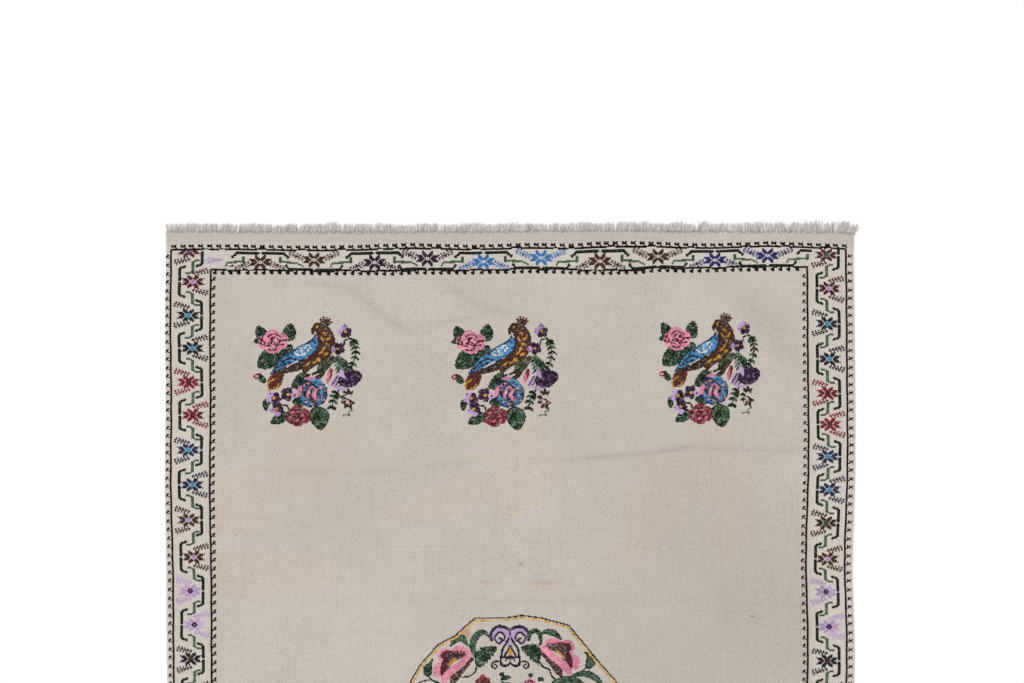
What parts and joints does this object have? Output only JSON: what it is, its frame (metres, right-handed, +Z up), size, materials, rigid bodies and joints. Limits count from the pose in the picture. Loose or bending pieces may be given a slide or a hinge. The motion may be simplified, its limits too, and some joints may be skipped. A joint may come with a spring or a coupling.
{
  "type": "flat-woven kilim rug",
  "caption": "Large rectangular flat-woven ivory wool rug lying flat, with a narrow embroidered border, posies and a medallion, and a short cut fringe at both ends.",
  "frame": {"origin": "on the floor plane, under the middle of the rug's box", "axes": "+Z up out of the floor, +Y along the rug's length towards its head end, +X across its width"},
  "size_m": [2.0168, 2.9536, 0.0025],
  "materials": {
    "ivory_wool": "matt",
    "warp_yarn": "matt"
  },
  "bodies": {
    "root": {"cloth": "ivory_wool", "fringe_head": "warp_yarn", "fringe_foot": "warp_yarn"}
  },
  "joints": []
}
